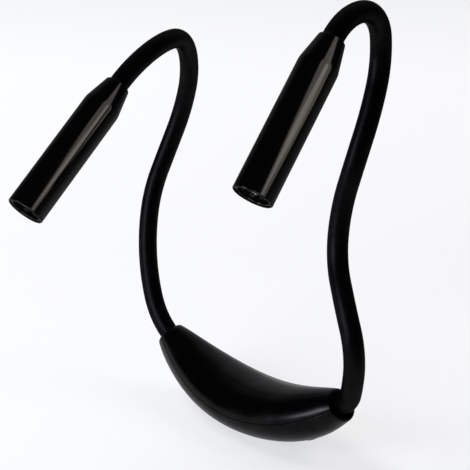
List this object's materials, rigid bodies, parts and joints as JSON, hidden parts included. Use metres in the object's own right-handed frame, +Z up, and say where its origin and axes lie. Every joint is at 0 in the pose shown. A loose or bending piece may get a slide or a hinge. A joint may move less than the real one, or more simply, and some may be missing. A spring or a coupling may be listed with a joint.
{
  "type": "neck reading light",
  "caption": "Reading light worn round the neck: a crescent pod at the nape, and bendable goosenecks that each end in a slim tubular lamp.",
  "frame": {"origin": "middle of the small flat on the pod's belly, on which the light stands", "axes": "+Z up, away from the rest face; X along the pod, +X towards the right gooseneck; -Y is the side that the lamps point to"},
  "size_m": [0.1537, 0.1222, 0.1963],
  "materials": {
    "pod_shell": "satin black moulded ABS",
    "button": "glossy black moulded ABS",
    "neck_sleeve": "matt black silicone",
    "neck_core": "drawn steel",
    "lamp_tube": "glossy black",
    "bezel": "glossy black",
    "lens": "clear moulded",
    "reflector": "vacuum metallised",
    "led_board": "white solder mask",
    "led": "phosphor",
    "cell": "foil pouch",
    "board": "green solder mask",
    "switch": "moulded",
    "socket": "plated",
    "tongue": "moulded",
    "light_pipe": "clear moulded",
    "screw": "plated"
  },
  "bodies": {
    "pod": {"outer_shell": "pod_shell", "inner_shell": "pod_shell", "battery_cell": "cell", "left_board": "board", "right_board": "board", "left_switch": "switch", "right_switch": "switch", "left_case_screw": "screw", "right_case_screw": "screw", "charge_socket": "socket", "socket_tongue": "tongue", "light_pipe": "light_pipe", "left_neck_root": "neck_sleeve", "right_neck_root": "neck_sleeve"},
    "left_button": {"left_button": "button"},
    "right_button": {"right_button": "button"},
    "left_neck_1": {"left_sleeve_1": "neck_sleeve", "left_core_1": "neck_core"},
    "left_neck_2": {"left_sleeve_2": "neck_sleeve", "left_core_2": "neck_core"},
    "left_neck_3": {"left_sleeve_3": "neck_sleeve", "left_core_3": "neck_core"},
    "left_neck_4": {"left_sleeve_4": "neck_sleeve", "left_core_4": "neck_core"},
    "left_neck_5": {"left_sleeve_5": "neck_sleeve", "left_core_5": "neck_core"},
    "left_lamp": {"left_neck_tip": "neck_sleeve", "left_lamp_tube": "lamp_tube", "left_bezel_ring": "bezel", "left_lens": "lens", "left_reflector": "reflector", "left_led_board": "led_board", "left_led": "led"},
    "right_neck_1": {"right_sleeve_1": "neck_sleeve", "right_core_1": "neck_core"},
    "right_neck_2": {"right_sleeve_2": "neck_sleeve", "right_core_2": "neck_core"},
    "right_neck_3": {"right_sleeve_3": "neck_sleeve", "right_core_3": "neck_core"},
    "right_neck_4": {"right_sleeve_4": "neck_sleeve", "right_core_4": "neck_core"},
    "right_neck_5": {"right_sleeve_5": "neck_sleeve", "right_core_5": "neck_core"},
    "right_lamp": {"right_neck_tip": "neck_sleeve", "right_lamp_tube": "lamp_tube", "right_bezel_ring": "bezel", "right_lens": "lens", "right_reflector": "reflector", "right_led_board": "led_board", "right_led": "led"}
  },
  "joints": [
    {"name": "left_root_spread", "type": "hinge", "parent": "pod", "child": "left_neck_1", "pos_m": [-0.05646, 0.00036, 0.03181], "axis": [-0.0924, -0.9928, 0.0756], "range_deg": [-10, 35]},
    {"name": "left_low_nod", "type": "hinge", "parent": "left_neck_1", "child": "left_neck_2", "pos_m": [-0.07639, 0.00956, 0.064], "axis": [0.9578, 0.0832, 0.2753], "range_deg": [-30, 30]},
    {"name": "left_middle_swing", "type": "hinge", "parent": "left_neck_2", "child": "left_neck_3", "pos_m": [-0.08199, 0.02473, 0.09987], "axis": [-0.0115, 0.8698, -0.4933], "range_deg": [-30, 15]},
    {"name": "left_high_nod", "type": "hinge", "parent": "left_neck_3", "child": "left_neck_4", "pos_m": [-0.07637, 0.03772, 0.13635], "axis": [0.9661, -0.0117, -0.2581], "range_deg": [-30, 20]},
    {"name": "left_crook_nod", "type": "hinge", "parent": "left_neck_4", "child": "left_neck_5", "pos_m": [-0.06439, 0.02093, 0.16704], "axis": [0.936, 0.3394, -0.0939], "range_deg": [-35, 15]},
    {"name": "left_lamp_aim", "type": "hinge", "parent": "left_neck_5", "child": "left_lamp", "pos_m": [-0.05929, -0.01545, 0.15679], "axis": [0, -0.569, 0.8223], "range_deg": [-40, 30]},
    {"name": "right_root_spread", "type": "hinge", "parent": "pod", "child": "right_neck_1", "pos_m": [0.05815, -0.00053, 0.03434], "axis": [0.0991, 0.9844, 0.1455], "range_deg": [-10, 40]},
    {"name": "right_low_nod", "type": "hinge", "parent": "right_neck_1", "child": "right_neck_2", "pos_m": [0.05623, -0.00017, 0.07085], "axis": [0.8355, 0.2034, 0.5105], "range_deg": [-30, 30]},
    {"name": "right_middle_swing", "type": "hinge", "parent": "right_neck_2", "child": "right_neck_3", "pos_m": [0.03801, 0.01486, 0.10153], "axis": [-0.0191, -0.9734, 0.2283], "range_deg": [-30, 15]},
    {"name": "right_high_nod", "type": "hinge", "parent": "right_neck_3", "child": "right_neck_4", "pos_m": [0.04124, 0.02422, 0.13962], "axis": [1, -0.0014, -0.003], "range_deg": [-30, 25]},
    {"name": "right_crook_nod", "type": "hinge", "parent": "right_neck_4", "child": "right_neck_5", "pos_m": [0.03847, 0.03772, 0.17603], "axis": [0.9999, 0.0015, -0.0153], "range_deg": [-35, 25]},
    {"name": "right_lamp_aim", "type": "hinge", "parent": "right_neck_5", "child": "right_lamp", "pos_m": [0.04008, 0.00784, 0.18756], "axis": [0, -0.5543, 0.8323], "range_deg": [-40, 40]},
    {"name": "left_button_press", "type": "slide", "parent": "pod", "child": "left_button", "axis": [0.3746, 0, 0.9272], "range_m": [0, 0.0006], "stiffness_N_per_m": 2500, "springref_m": -0.0002},
    {"name": "right_button_press", "type": "slide", "parent": "pod", "child": "right_button", "axis": [-0.4067, 0, 0.9135], "range_m": [0, 0.0006], "stiffness_N_per_m": 2500, "springref_m": -0.0002}
  ]
}
